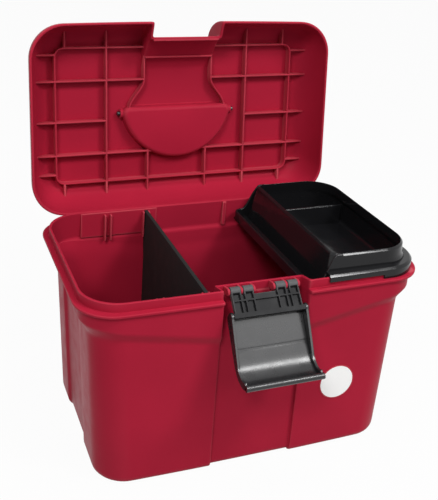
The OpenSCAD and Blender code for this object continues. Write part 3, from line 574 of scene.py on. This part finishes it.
def latch_seat(bm, side):
    """Three ears and the bar that the latch clips on."""
    root = SEAT_Y + WALL / 2
    for f in EAR_SHARES:
        x = side * f * SEAT_HALF
        outline = arc(BAR_Y, BAR_Z, EAR_R, 90, 270, 12) + [(root, BAR_Z - EAR_FOOT), (root, BAR_Z + EAR_HEAD)]
        prism(bm, outline, x - EAR_T / 2, x + EAR_T / 2, along_x, EAR_EDGE)
    mid = side * SEAT_HALF * lerp(EAR_SHARES[0], EAR_SHARES[2], 0.5)
    reach = SEAT_HALF * (EAR_SHARES[2] - EAR_SHARES[0]) / 2
    rod(bm, mid - reach, mid + reach, BAR_Y, BAR_Z, BAR_R, 0)


def hinge_lugs(bm, side):
    wall_y, low = WALL_B - WALL / 2, TUB_H - LIP_T
    for end in (-1, 1):
        x = side * HINGE_X + end * (KNUCKLE_W / 2 + LUG_GAP + LUG_T / 2)
        outline = arc(AXIS_Y, AXIS_Z, KNUCKLE_R, -70, 110, 14)
        outline += [(HD - LUG_BACK, low), (wall_y, low), (wall_y, AXIS_Z - LUG_FOOT)]
        prism(bm, outline, x - LUG_T / 2, x + LUG_T / 2, along_x, EDGE_R)


def slot_ribs(bm, x):
    """Two pairs of ribs, on the front and the rear wall, that hold a divider at x."""
    z0, z1 = TUB_H - BAND_MID * SLOT_SHARE, TOP_Z - SLOT_DROP
    for side in (-1, 1):
        mid = x + side * (DIVIDER_T / 2 + SLOT_GAP + SLOT_T / 2)
        for y0, y1 in ((WALL_B - WALL - SLOT_IN, WALL_B - SKIN_T), (-WALL_B - WALL / 2, SLOT_IN + WALL - WALL_B)):
            block(bm, (mid - SLOT_T / 2, y0, z0), (mid + SLOT_T / 2, y1, z1), SLOT_EDGE)


def tub():
    bm = bmesh.new()
    closed_skin(bm, [loop(bm, ring(row, tub_lift)) for row in rolled(tub_controls(), TUB_STEPS)])
    for side in (-1, 1):
        latch_seat(bm, side)
        hinge_lugs(bm, side)
    for x in (DIVIDER_X, SPARE_X):
        slot_ribs(bm, x)
    rear_panel(bm, RIDGE_X - RIDGE_W / 2, RIDGE_X + RIDGE_W / 2, RIDGE_UP)
    rear_panel(bm, PANEL_X0, PANEL_X1, PANEL_UP)
    prism(bm, circle(0, 0, PAD_R, 72), -WALL / 2, PAD_UP, on_pad(), PAD_EDGE)
    finish_piece("tub_shell", bm, "tub", "base", RED)


# Lid, drawn closed and then swung open
RAMP_Y = (0, 0.01, 0.05, 0.16, 0.34, 0.55, 0.77, 1)
RAMP_Z = (0, 0.1, 0.2, 0.34, 0.52, 0.71, 0.89, 1)
LID_TURNS, RIM_TURNS, RIM_UP = 18, 8, 1.2
HANDLE_Y, HANDLE_Z, BOSS_R, BOSS_OUT, BOSS_EDGE = 1.28, 262.3, 6, 2.4, 0.6
BEAD_W, BEAD_IN, BEAD_UP, BEAD_EDGE = 5, 1, 0.4, 0.7
KNUCKLE_Z0, KNUCKLE_Z1 = TUB_H + 6, TUB_H + 17
NECK_X, NECK_Y0, NECK_Y1, BELL_X = NOTCH_HALF + WALL / 2, NOTCH_Y + RAMP_RUN * 0.5, -44, 66
FRAME_A, FRAME_Y0, FRAME_Y1, FRAME_R = 162.5, -85.7, 89.7, 11
RIB_ROOT = LID_TOP - WALL / 2
# Half-moon pocket: rounding of its ends, of its foot and floor seen from below, and of its rim and bed seen from above
MOON_END_R, MOON_FOOT_R, MOON_ROLL_R, MOON_RIM_R, MOON_BED_R, MOON_RIB_Y = 9, 2, 6, 1.2, 3, 52
MOON_RIB_X = math.sqrt((ARC_R - WALL) ** 2 - (MOON_RIB_Y - ARC_Y) ** 2)
# Straight ribs, as (place, where the rib starts)
SIDE_RIBS = ((-43.8, NECK_X), (8.8, 96.7), (52.1, MOON_RIB_X), (-77.4, FRAME_A), (77.4, FRAME_A))
FRONT_RIBS = ((96.7, FRAME_Y1), (150, FRAME_Y0))
REAR_RIBS = ((40.7, 48), (152, FRAME_Y1), (96.7, FRAME_Y1))
RAMP_RIB_Y, RAMP_RIB_RISE, RAMP_RIB_H = NOTCH_Y + RAMP_RUN * 0.66, 0.82, 6


def opened():
    at = Vector((0, AXIS_Y, AXIS_Z)) * MM
    return Matrix.Translation(at) @ Matrix.Rotation(math.radians(-OPEN_ANGLE), 4, "X") @ Matrix.Translation(-at)


def share_at(table, f):
    k = min(len(table) - 2, int(f * (len(table) - 1)))
    return lerp(table[k], table[k + 1], f * (len(table) - 1) - k)


def lid_row(f, thin):
    t, h = math.radians(90 * f), LID_H - thin
    inset = thin + LID_ROUND * (1 - math.cos(t))
    up = RIM_UP * (1 - f)
    return [HW - inset, HD - inset, TUB_H + h * math.sin(t) + up, 0, NOTCH_Y + thin + RAMP_RUN * share_at(RAMP_Y, f),
            TUB_H + lerp(NOTCH_UP, h, share_at(RAMP_Z, f)) + up, NOTCH_HALF + thin, 0]


def rim_row(t):
    inset, dip = WALL / 2 * (1 + math.cos(t)), math.sin(t)
    return [HW - inset, HD - inset, TUB_H + RIM_UP - dip, 0, NOTCH_Y + inset, TUB_H + NOTCH_UP + RIM_UP - dip,
            NOTCH_HALF + inset, 0]


def half_moon(z, out):
    """Outline of the handle pocket at height z, grown by out, with its two ends rounded."""
    big, y0, r = ARC_R + out, POCKET_Y0 - out, MOON_END_R + out
    start = math.degrees(math.asin((y0 + r - ARC_Y) / (big - r)))
    cx, cy = (big - r) * math.cos(math.radians(start)), y0 + r
    pts = arc(cx, cy, r, -90, start, 6)
    pts += arc(0, ARC_Y, big, start, 180 - start, 48)[1:-1]
    pts += arc(-cx, cy, r, 180 - start, 270, 6)
    return [(x, y, z) for x, y in pts + [(x, y0) for x in between(-cx, cx, 10)[1:-1]]]


def pocket(bm, rows, around):
    """One side of the half-moon pocket, from rows of (height, growth), joined to the lid's loop around it."""
    loops = [loop(bm, half_moon(z, out)) for z, out in rows]
    skin(bm, loops)
    bm.faces.new(loops[-1])
    fill(bm, around, loops[0])


def wall_mid(t):
    """The middle of the lid's wall, as (distance from the lid edge, height)."""
    return WALL / 2 + LID_ROUND * (1 - math.cos(t)), TUB_H + (LID_H - WALL / 2) * math.sin(t)


def gusset(reach):
    """Side of a rib that runs out to the lid wall, as (distance from the lid edge, height)."""
    low = math.degrees(math.asin((RIB_Z - TUB_H) / (LID_H - WALL / 2)))
    return [(reach, RIB_ROOT), (reach, RIB_Z)] + [wall_mid(t) for t in turns(low, 90, 8)]


def strip(bm, path):
    """A rib that follows a path in plan, with a rounded lower edge."""
    half = RIB_T / 2
    edge = [(-math.cos(a) * half, RIB_Z + half * (1 - math.sin(a))) for a in turns(0, 180, 8)]
    section = [(-half, RIB_ROOT)] + edge + [(half, RIB_ROOT)]
    sweep(bm, path, lambda i: section)


def lid_ribs(bm):
    def rib(outline, at, to):
        prism(bm, outline, at - RIB_T / 2, at + RIB_T / 2, to, EDGE_R)

    for side in (-1, 1):
        half = [(NECK_X, FRAME_Y0)] + arc(FRAME_A - FRAME_R, FRAME_Y0 + FRAME_R, FRAME_R, -90, 0, 8)
        half += arc(FRAME_A - FRAME_R, FRAME_Y1 - FRAME_R, FRAME_R, 0, 90, 8) + [(0, FRAME_Y1)]
        strip(bm, [(side * x, y) for x, y in half])
        bell = [(NECK_X, NECK_Y0), (NECK_X, NECK_Y1)]
        for f in between(0, 1, 16)[1:]:
            swing = (1 - math.cos(math.pi * f)) / 2
            bell.append((lerp(NECK_X, BELL_X, swing), lerp(NECK_Y1, POCKET_Y0 + WALL, f)))
        strip(bm, [(side * x, y) for x, y in bell])
        for y, start in SIDE_RIBS:
            rib([(side * (HW - d), z) for d, z in gusset(HW - start)], y, along_y)
        for x, start in FRONT_RIBS:
            rib([(d - HD, z) for d, z in gusset(HD + start)], side * x, along_x)
        for x, start in REAR_RIBS:
            rib([(HD - d, z) for d, z in gusset(HD - start)], side * x, along_x)
    top = TUB_H + lerp(NOTCH_UP, LID_H - WALL, RAMP_RIB_RISE)
    block(bm, (-NECK_X, RAMP_RIB_Y - RIB_T / 2, top - RAMP_RIB_H), (NECK_X, RAMP_RIB_Y + RIB_T / 2, top), EDGE_R)


def lid():
    bm = bmesh.new()
    rows = [lid_row(f, WALL) for f in between(1, 0, LID_TURNS)] + [rim_row(t) for t in turns(0, 180, RIM_TURNS)[1:-1]]
    rows += [lid_row(f, 0) for f in between(0, 1, LID_TURNS)]
    loops = [loop(bm, ring(row)) for row in rows]
    skin(bm, loops)
    bed_z, r = LID_TOP - POCKET_H, MOON_FOOT_R
    under = [(LID_TOP - WALL - r * (1 - math.sin(a)), r * (1 - math.cos(a))) for a in turns(90, 0, 4)]
    r = MOON_ROLL_R
    under += [(bed_z - WALL + r * (1 - math.sin(a)), -r * (1 - math.cos(a))) for a in turns(0, 90, 8)]
    pocket(bm, under, loops[0])
    r = MOON_RIM_R
    over = [(LID_TOP - r * (1 - math.cos(a)), -WALL + r * (1 - math.sin(a))) for a in turns(0, 90, 4)]
    r = MOON_BED_R
    over += [(bed_z + r * (1 - math.sin(a)), -WALL - r * (1 - math.cos(a))) for a in turns(0, 90, 6)]
    pocket(bm, over, loops[-1])
    lid_ribs(bm)
    wall_y = HD - WALL / 2
    boss_x = math.sqrt(ARC_R ** 2 - (HANDLE_Y - ARC_Y) ** 2)
    for side in (-1, 1):
        x = side * HINGE_X
        outline = arc(AXIS_Y, AXIS_Z, KNUCKLE_R, 150, 360, 20)
        outline += [(AXIS_Y + KNUCKLE_R, AXIS_Z + KNUCKLE_R), (wall_y, KNUCKLE_Z1), (wall_y, KNUCKLE_Z0)]
        prism(bm, outline, x - KNUCKLE_W / 2, x + KNUCKLE_W / 2, along_x, EDGE_R)
        x0, x1 = sorted((side * (boss_x - WALL - BOSS_OUT / 2), side * (boss_x + BOSS_OUT)))
        rod(bm, x0, x1, HANDLE_Y, HANDLE_Z, BOSS_R, BOSS_EDGE)
    bead_x, bead_z = NOTCH_HALF - BEAD_IN, TUB_H + NOTCH_UP + BEAD_UP
    block(bm, (-bead_x, NOTCH_Y + BEAD_IN, bead_z), (bead_x, NOTCH_Y + BEAD_W, bead_z + WALL), BEAD_EDGE)
    finish_piece("lid_shell", bm, "lid", "lid", RED, opened())


# Tray
TRAY_T, TRAY_X1, TRAY_B = 2.6, WALL_A - 2 * WALL, WALL_B - 2 * WALL
TRAY_X0, TRAY_Z0, TRAY_LOW, TRAY_TOP = TRAY_X1 - 135.5, TOP_Z - 25, TOP_Z - 11.5, TOP_Z + 21
MID_X, FOOT_X, UPPER_IN, UPPER_RISE, UPPER_LEAN = TRAY_X0 + 30, TRAY_X0 + 18, 3, 7, 2
BAY_R, BAY_FOOT_R, BAY_COVE_R, TROUGH_R, TRAY_R = 10, 4, 5, 9, radius_at(WALL_A - WALL) - WALL
CROSS_Y, CROSS_T, CROSS_DROP, CROSS_EDGE, CROSS_IN = 59.5, 4, 18, 1.3, 0.8
SKIRT_T, SKIRT_A, SKIRT_B, SKIRT_X, SKIRT_EDGE = 1.6, WALL_A + 2.1, WALL_B + 2.1, 73, 0.4
SKIRT_Z, SKIRT_CUT_X, SKIRT_CUT_UP, LEDGE_T, LEDGE_W = TOP_Z - 9.7, 142, 4.5, 3, 9
TROUGH_FLAT, TROUGH_RISE_X, TROUGH_END_X, LEDGE_REAR_X = TRAY_X0 + 11, MID_X + 4, MID_X + 10, 88
TROUGH_EDGE, TROUGH_FLOOR_UP, TROUGH_FLOOR_EDGE = 1, 0.2, 0.3
OVERLAP, RIM_GAP = 1, 0.6     # how far walls of the tray run into each other, and from its rim to the wall's last row
# Edges seen in section, as (distance in from the outer face, distance below the top)
RIM_EDGE = ((0, 2.7), (0.06, 2.25), (0.3, 1.85), (1.7, 0.35), (2.0, 0.1), (2.3, 0), (2.5, 0.1), (2.6, 0.4))
LEDGE_EDGE = ((0, 3.0), (0.08, 2.55), (0.35, 2.2), (2.3, 0.35), (2.75, 0.08), (3.3, 0))


def tray_lean(z):
    return UPPER_LEAN * ease((z - TOP_Z - LEDGE_T) / (TRAY_TOP - TOP_Z))


def bay_ring(d, z):
    """Outline of the deep part of the tray at height z, inset by d. Its left wall slopes."""
    x0 = lerp(FOOT_X, MID_X, (z - TRAY_Z0) / (TRAY_TOP - TRAY_Z0)) - TRAY_T / 2 + d
    x1 = TRAY_X1 - UPPER_IN * ease((z - TOP_Z - LEDGE_T) / UPPER_RISE) - d
    b, rl, rr = TRAY_B - tray_lean(z) - d, BAY_R - d, TRAY_R - d
    pts = arc(x1 - rr, rr - b, rr, -90, 0, 16) + arc(x1 - rr, b - rr, rr, 0, 90, 16)
    pts += arc(x0 + rl, b - rl, rl, 90, 180, 10) + arc(x0 + rl, rl - b, rl, 180, 270, 10)
    return [(x, y, z) for x, y in pts]


def trough_top(x):
    """Height of the end walls of the trough, which rise in an S to the rim of the bays."""
    return lerp(TRAY_LOW, TRAY_TOP, ease((x - TROUGH_FLAT) / (TROUGH_RISE_X - TROUGH_FLAT)))


def trough(bm):
    half, r = TRAY_T / 2, TROUGH_R - TRAY_T / 2
    x0, b = TRAY_X0 + half, TRAY_B - half - HAIR / 2
    path = [(x, -b) for x in between(TROUGH_END_X, x0 + r, 26)] + arc(x0 + r, r - b, r, 270, 180, 8)[1:]
    path += [(x0, y) for y in between(r - b, b - r, 6)[1:-1]] + arc(x0 + r, b - r, r, 180, 90, 8)
    path += [(x, b) for x in between(x0 + r, TROUGH_END_X, 26)[1:]]

    def section(i):
        top = trough_top(path[i][0]) - half
        rise = between(TRAY_Z0 + TROUGH_EDGE, top, 10)
        pts = [(-half, z) for z in reversed(rise)] + [(TROUGH_EDGE - half, TRAY_Z0), (half - TROUGH_EDGE, TRAY_Z0)]
        pts += [(half, z) for z in rise]
        pts += [(half * math.cos(a), top + half * math.sin(a)) for a in turns(0, 180, 8)[1:-1]]
        return [(s - tray_lean(z), z) for s, z in pts]

    sweep(bm, path, section)
    block(bm, (TRAY_X0 + OVERLAP, OVERLAP - TRAY_B, TRAY_Z0 + TROUGH_FLOOR_UP),
          (FOOT_X + OVERLAP, TRAY_B - OVERLAP, TRAY_Z0 + TRAY_T), TROUGH_FLOOR_EDGE)


def ledge(bm):
    """The ledge that rests on the tub's upstand and the skirt that hangs outside it."""
    r, top = radius_at(SKIRT_A), TOP_Z + LEDGE_T
    path = [(x, -SKIRT_B) for x in between(SKIRT_X, SKIRT_CUT_X - HAIR, 8) + [SKIRT_CUT_X + HAIR]]
    path += arc(SKIRT_A - r, r - SKIRT_B, r, -90, 0, 18) + arc(SKIRT_A - r, SKIRT_B - r, r, 0, 90, 18)
    path += [(x, SKIRT_B) for x in between(SKIRT_A - r, LEDGE_REAR_X, 8)[1:]]
    bow = [FRONT_BOW * (1 - (x / SKIRT_A) ** 2) if y < 0 else 0 for x, y in path]
    path = [(x, y - d) for (x, y), d in zip(path, bow)]

    def section(i):
        cut = path[i][1] < 0 and path[i][0] < SKIRT_CUT_X
        low = SKIRT_Z + (SKIRT_CUT_UP if cut else 0)
        pts = [(SKIRT_EDGE, low), (0, low + SKIRT_EDGE)] + [(s, top - d) for s, d in LEDGE_EDGE]
        inner = LEDGE_W + bow[i]
        return pts + [(inner, top), (inner, TOP_Z), (SKIRT_T, TOP_Z), (SKIRT_T, low)]

    sweep(bm, path, section)


def cross_wall(bm):
    x1, z0, top = TRAY_X1 - UPPER_IN - OVERLAP, TRAY_Z0 + OVERLAP, TRAY_TOP - CROSS_DROP
    joins = lerp(MID_X, FOOT_X, CROSS_DROP / (TRAY_TOP - TRAY_Z0)) + CROSS_IN
    outline = [(FOOT_X + CROSS_IN, z0), (x1, z0), (x1, top), (joins, top)]
    prism(bm, outline, CROSS_Y - CROSS_T / 2, CROSS_Y + CROSS_T / 2, along_y, CROSS_EDGE)


def tray():
    bm = bmesh.new()
    foot, cove, turn = BAY_FOOT_R, BAY_COVE_R, turns(0, 90, 6)
    rise = between(TOP_Z + LEDGE_T, TRAY_TOP - RIM_EDGE[0][1] - RIM_GAP, 8)
    rows = [(foot * (1 - math.sin(a)), TRAY_Z0 + foot * (1 - math.cos(a))) for a in turn] + [(0, z) for z in rise]
    rows += [(d, TRAY_TOP - h) for d, h in RIM_EDGE]
    rows += [(TRAY_T, z) for z in reversed(rise)]
    rows += [(TRAY_T + cove * (1 - math.cos(a)), TRAY_Z0 + TRAY_T + cove * (1 - math.sin(a))) for a in turn]
    closed_skin(bm, [loop(bm, bay_ring(d, z)) for d, z in rows])
    cross_wall(bm)
    trough(bm)
    ledge(bm)
    o = finish_piece("tray_shell", bm, "tray", "tray", GLOSS, sharp=50)
    o.modifiers.new("normals", "WEIGHTED_NORMAL").keep_sharp = True


# Latch lever, drawn from its pivot along the link's direction
LATCH_A, LINK_LEN = math.radians(226.4), 27
LEVER_HALF, LEVER_T, LEVER_LEN, LEVER_Y0, LEVER_IN, LEVER_EDGE = 44, 2.6, 73, -3, 0.6, 0.4
SCOOP_A, SCOOP_B, SCOOP_D, SCOOP_END = 24, 16.95, 15, 102
CHEEK_H, CHEEK_EDGE, EAR_OUT, EAR_PROUD, EAR_OUT_EDGE, TIP_R, TIP_EDGE = 6, 0.7, 5, 0.1, 0.5, 3.4, 1.3
# Two raised plates with a seam between them, as shares of the lever's length
STEP_T, STEP_GAP, STEP_EDGE, PLATE_F0, PLATE_F1, SEAM, SEAM_W = 0.7, 0.4, 0.15, 0.06, 0.94, 0.42, 0.02


def latch(y, z):
    c, s = math.cos(LATCH_A), math.sin(LATCH_A)
    return lambda u, v, h: (h, y + u * c - v * s, z + u * s + v * c)


def offset(path, d):
    """The path moved sideways by d."""
    out = []
    for i, p in enumerate(path):
        t = direction(path, i)
        out.append((p[0] - t.y * d, p[1] + t.x * d))
    return out


def point_at(path, f):
    """The point at a share of the path's length."""
    lengths = [math.dist(p, q) for p, q in zip(path, path[1:])]
    left = f * sum(lengths)
    for p, q, d in zip(path, path[1:], lengths):
        if left <= d:
            return lerp(p[0], q[0], left / d), lerp(p[1], q[1], left / d)
        left -= d
    return path[-1]


def lever():
    bm = bmesh.new()
    to = latch(BAR_Y + LINK_LEN * math.cos(LATCH_A), BAR_Z + LINK_LEN * math.sin(LATCH_A))
    cy, cz = LEVER_LEN - SCOOP_A, SCOOP_D - SCOOP_B
    bend = oval(cy, cz, SCOOP_A, SCOOP_B, SCOOP_END, 0, 24)
    path = [(lerp(LEVER_Y0, bend[0][0], f), lerp(SCOOP_D / 2, bend[0][1], f)) for f in between(0, 1, 8)[:-1]] + bend
    under, face = offset(path, LEVER_T / 2), offset(path, -LEVER_T / 2)
    prism(bm, under + face[::-1], LEVER_IN - LEVER_HALF, LEVER_HALF - LEVER_IN, to, LEVER_EDGE)
    inner = LEVER_HALF - LEVER_T - STEP_GAP
    for f0, f1 in ((PLATE_F0, SEAM - SEAM_W / 2), (SEAM + SEAM_W / 2, PLATE_F1)):
        plate = [point_at(path, f) for f in between(f0, f1, 24)]
        prism(bm, plate + offset(plate, -LEVER_T / 2 - STEP_T)[::-1], -inner, inner, to, STEP_EDGE)
    prism(bm, circle(*path[-1], TIP_R), -LEVER_HALF, LEVER_HALF, to, TIP_EDGE)
    brim = oval(cy, cz, SCOOP_A - CHEEK_H, SCOOP_B - CHEEK_H, 0, 90, 14)
    for side in (-1, 1):
        x0, x1 = sorted((side * (LEVER_HALF - LEVER_T), side * LEVER_HALF))
        prism(bm, [(-EAR_OUT, 0)] + under + brim + [(0, -EAR_OUT)], x0, x1, to, CHEEK_EDGE)
        prism(bm, circle(0, 0, EAR_OUT, 36), x0 - EAR_PROUD, x1 + EAR_PROUD, to, EAR_OUT_EDGE)
    finish_piece("lever_scoop", bm, "latch_lever", "lever", BLACK, sharp=34)


# CAD nodes that keep their shape: material and width of the rounded edges
DRESSED = (("handle", BLACK, 2.2), ("latch_link", LINK, 0.4), ("divider", MATT, 0.8), ("hinge_pin_left", STEEL, 0.3),
           ("hinge_pin_right", STEEL, 0.3), ("sticker", LABEL, 0))
DRESS_ANGLE = math.radians(30)


def dress(node, material, width):
    o = nodes[node]
    o.data.materials.clear()
    o.data.materials.append(material)
    for f in o.data.polygons:
        f.use_smooth = True
    if width:
        bevel = o.modifiers.new("edges", "BEVEL")
        bevel.width = width * MM
        bevel.segments = BEVEL_STEPS
        bevel.limit_method = "ANGLE"
        bevel.angle_limit = DRESS_ANGLE
        bevel.miter_outer = "MITER_ARC"
        bevel.harden_normals = True
    o.modifiers.new("normals", "WEIGHTED_NORMAL").keep_sharp = True


camera()
world()
floor()
for spec in LAMPS:
    lamp(*spec)
tub()
lid()
tray()
lever()
for spec in DRESSED:
    dress(*spec)

scene.view_settings.view_transform = "Standard"
